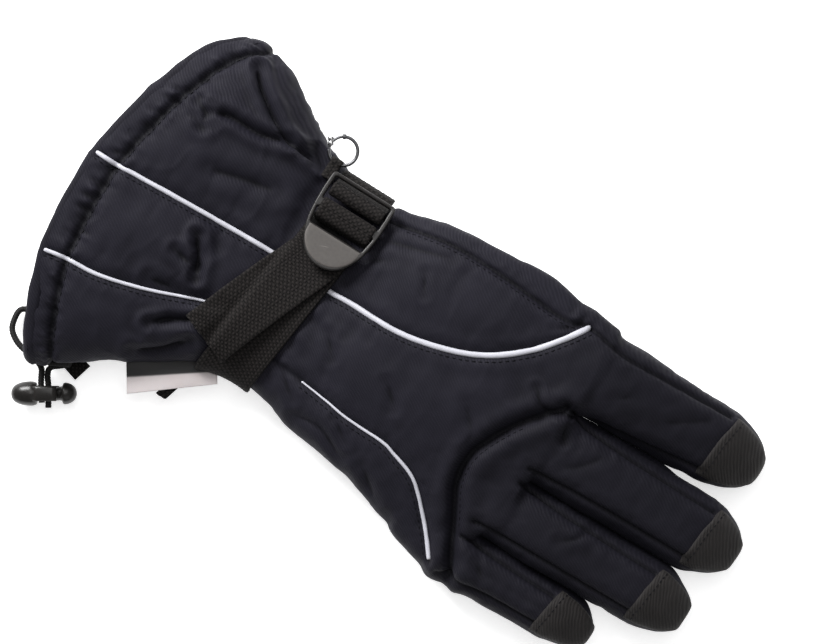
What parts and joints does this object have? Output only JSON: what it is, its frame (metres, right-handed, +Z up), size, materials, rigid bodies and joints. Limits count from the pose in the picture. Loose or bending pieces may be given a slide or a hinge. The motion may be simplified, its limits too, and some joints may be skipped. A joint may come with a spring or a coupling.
{
  "type": "ski glove",
  "caption": "Right-hand padded winter glove with a flared gauntlet cuff, buckled wrist strap, drawcord hem with a cord lock, snap ring and reflective piping.",
  "frame": {"origin": "on the resting plane, under the middle of the overall length and width", "axes": "+X from the gauntlet hem to the fingertips, +Y to the thumb side, +Z up, from the palm to the back of the hand"},
  "size_m": [0.3228, 0.1864, 0.0434],
  "materials": {
    "shell_fabric": "matt ribbed nylon",
    "grip_fabric": "matt coated twill",
    "wadding": "soft fibre",
    "lining_fabric": "brushed knit",
    "webbing": "coarse woven tape",
    "reflective_piping": "satin retroreflective film on tape",
    "cord_fabric": "braided elastic cord",
    "label_fabric": "satin woven tape, blank",
    "black_plastic": "moulded, lightly polished edges",
    "dark_metal": "gunmetal plated wire",
    "bright_metal": "bright"
  },
  "bodies": {
    "hand": {"back_panel": "shell_fabric", "palm_panel": "grip_fabric", "hand_insulation": "wadding", "hand_lining": "lining_fabric", "wrist_elastic": "webbing", "piping_wrist_centre": "reflective_piping", "piping_hand_centre": "reflective_piping", "piping_hand_outer": "reflective_piping", "wrist_strap": "webbing", "buckle_anchor_loop": "webbing", "clip_tab": "webbing", "side_label": "label_fabric", "loop_tab": "webbing"},
    "gauntlet": {"gauntlet_back": "shell_fabric", "gauntlet_underside": "shell_fabric", "gauntlet_insulation": "wadding", "gauntlet_lining": "lining_fabric", "hem_binding": "shell_fabric", "drawcord": "cord_fabric", "cord_anchor_tab": "webbing", "piping_gauntlet_centre": "reflective_piping", "piping_gauntlet_outer": "reflective_piping"},
    "cord_lock": {"cord_lock_barrel": "black_plastic", "cord_lock_spring": "bright_metal"},
    "lock_button": {"cord_lock_button": "black_plastic"},
    "buckle": {"ladder_buckle": "black_plastic", "strap_bight": "webbing"},
    "strap_end": {"strap_tail": "webbing"},
    "ring": {"snap_ring": "dark_metal"},
    "gate": {"snap_gate": "bright_metal"},
    "index_base": {"index_base_shell": "shell_fabric", "index_base_liner": "lining_fabric"},
    "index_tip": {"index_tip_shell": "shell_fabric", "index_tip_liner": "lining_fabric", "index_tip_patch": "grip_fabric"},
    "middle_base": {"middle_base_shell": "shell_fabric", "middle_base_liner": "lining_fabric"},
    "middle_tip": {"middle_tip_shell": "shell_fabric", "middle_tip_liner": "lining_fabric", "middle_tip_patch": "grip_fabric"},
    "ring_base": {"ring_base_shell": "shell_fabric", "ring_base_liner": "lining_fabric"},
    "ring_tip": {"ring_tip_shell": "shell_fabric", "ring_tip_liner": "lining_fabric", "ring_tip_patch": "grip_fabric"},
    "little_base": {"little_base_shell": "shell_fabric", "little_base_liner": "lining_fabric"},
    "little_tip": {"little_tip_shell": "shell_fabric", "little_tip_liner": "lining_fabric", "little_tip_patch": "grip_fabric"},
    "thumb_base": {"thumb_base_shell": "shell_fabric", "thumb_base_liner": "lining_fabric"},
    "thumb_tip": {"thumb_tip_shell": "shell_fabric", "thumb_tip_liner": "lining_fabric", "thumb_tip_patch": "grip_fabric"}
  },
  "joints": [
    {"name": "index_knuckle", "type": "hinge", "parent": "hand", "child": "index_base", "pos_m": [0.06465, 0.04889, 0.02608], "axis": [0, 1, 0], "range_deg": [0, 70], "stiffness_Nm_per_rad": 0.06},
    {"name": "index_middle_joint", "type": "hinge", "parent": "index_base", "child": "index_tip", "pos_m": [0.10815, 0.05019, 0.01675], "axis": [0, 1, 0], "range_deg": [0, 70], "stiffness_Nm_per_rad": 0.04},
    {"name": "middle_knuckle", "type": "hinge", "parent": "hand", "child": "middle_base", "pos_m": [0.06465, 0.01309, 0.02053], "axis": [0, 1, 0], "range_deg": [0, 70], "stiffness_Nm_per_rad": 0.06},
    {"name": "middle_middle_joint", "type": "hinge", "parent": "middle_base", "child": "middle_tip", "pos_m": [0.11415, 0.01389, 0.01425], "axis": [0, 1, 0], "range_deg": [0, 70], "stiffness_Nm_per_rad": 0.04},
    {"name": "ring_knuckle", "type": "hinge", "parent": "hand", "child": "ring_base", "pos_m": [0.06465, -0.01971, 0.01559], "axis": [0, 1, 0], "range_deg": [0, 70], "stiffness_Nm_per_rad": 0.06},
    {"name": "ring_middle_joint", "type": "hinge", "parent": "ring_base", "child": "ring_tip", "pos_m": [0.11115, -0.01951, 0.01188], "axis": [0, 1, 0], "range_deg": [0, 70], "stiffness_Nm_per_rad": 0.04},
    {"name": "little_knuckle", "type": "hinge", "parent": "hand", "child": "little_base", "pos_m": [0.05605, -0.04791, 0.0115], "axis": [0, 1, 0], "range_deg": [0, 70], "stiffness_Nm_per_rad": 0.06},
    {"name": "little_middle_joint", "type": "hinge", "parent": "little_base", "child": "little_tip", "pos_m": [0.09115, -0.04791, 0.00958], "axis": [0, 1, 0], "range_deg": [0, 70], "stiffness_Nm_per_rad": 0.04},
    {"name": "thumb_swing", "type": "hinge", "parent": "hand", "child": "thumb_base", "pos_m": [-0.01085, 0.05849, 0.0076], "axis": [0, -0.1386, 0.9903], "range_deg": [0, 42], "stiffness_Nm_per_rad": 0.05},
    {"name": "thumb_curl", "type": "hinge", "parent": "thumb_base", "child": "thumb_tip", "pos_m": [0.02315, 0.06079, 0.01004], "axis": [0, 0.1386, -0.9903], "range_deg": [0, 42], "stiffness_Nm_per_rad": 0.04},
    {"name": "wrist_bend", "type": "hinge", "parent": "hand", "child": "gauntlet", "pos_m": [-0.09485, 0.01699, 0.0156], "axis": [0, 1, 0], "range_deg": [-28, 24], "stiffness_Nm_per_rad": 0.3},
    {"name": "buckle_lift", "type": "hinge", "parent": "hand", "child": "buckle", "pos_m": [-0.05515, 0.05619, 0.0334], "axis": [-1, 0, 0], "range_deg": [0, 34], "stiffness_Nm_per_rad": 0.01},
    {"name": "strap_pull", "type": "slide", "parent": "hand", "child": "strap_end", "axis": [-0.3599, -0.9328, 0.02], "range_m": [0, 0.012]},
    {"name": "cord_lock_slide", "type": "slide", "parent": "gauntlet", "child": "cord_lock", "axis": [-0.5299, 0.848, 0], "range_m": [0, 0.0035]},
    {"name": "cord_lock_press", "type": "slide", "parent": "cord_lock", "child": "lock_button", "axis": [-0.848, -0.5299, 0], "range_m": [0, 0.002], "stiffness_N_per_m": 400, "springref_m": -0.001},
    {"name": "ring_swing", "type": "hinge", "parent": "hand", "child": "ring", "pos_m": [-0.07215, 0.06579, 0.0254], "axis": [1, 0, 0], "range_deg": [-30, 20], "stiffness_Nm_per_rad": 0.002},
    {"name": "ring_gate", "type": "hinge", "parent": "ring", "child": "gate", "pos_m": [-0.07582, 0.07676, 0.0254], "axis": [0, 0, 1], "range_deg": [0, 28], "stiffness_Nm_per_rad": 0.002}
  ]
}
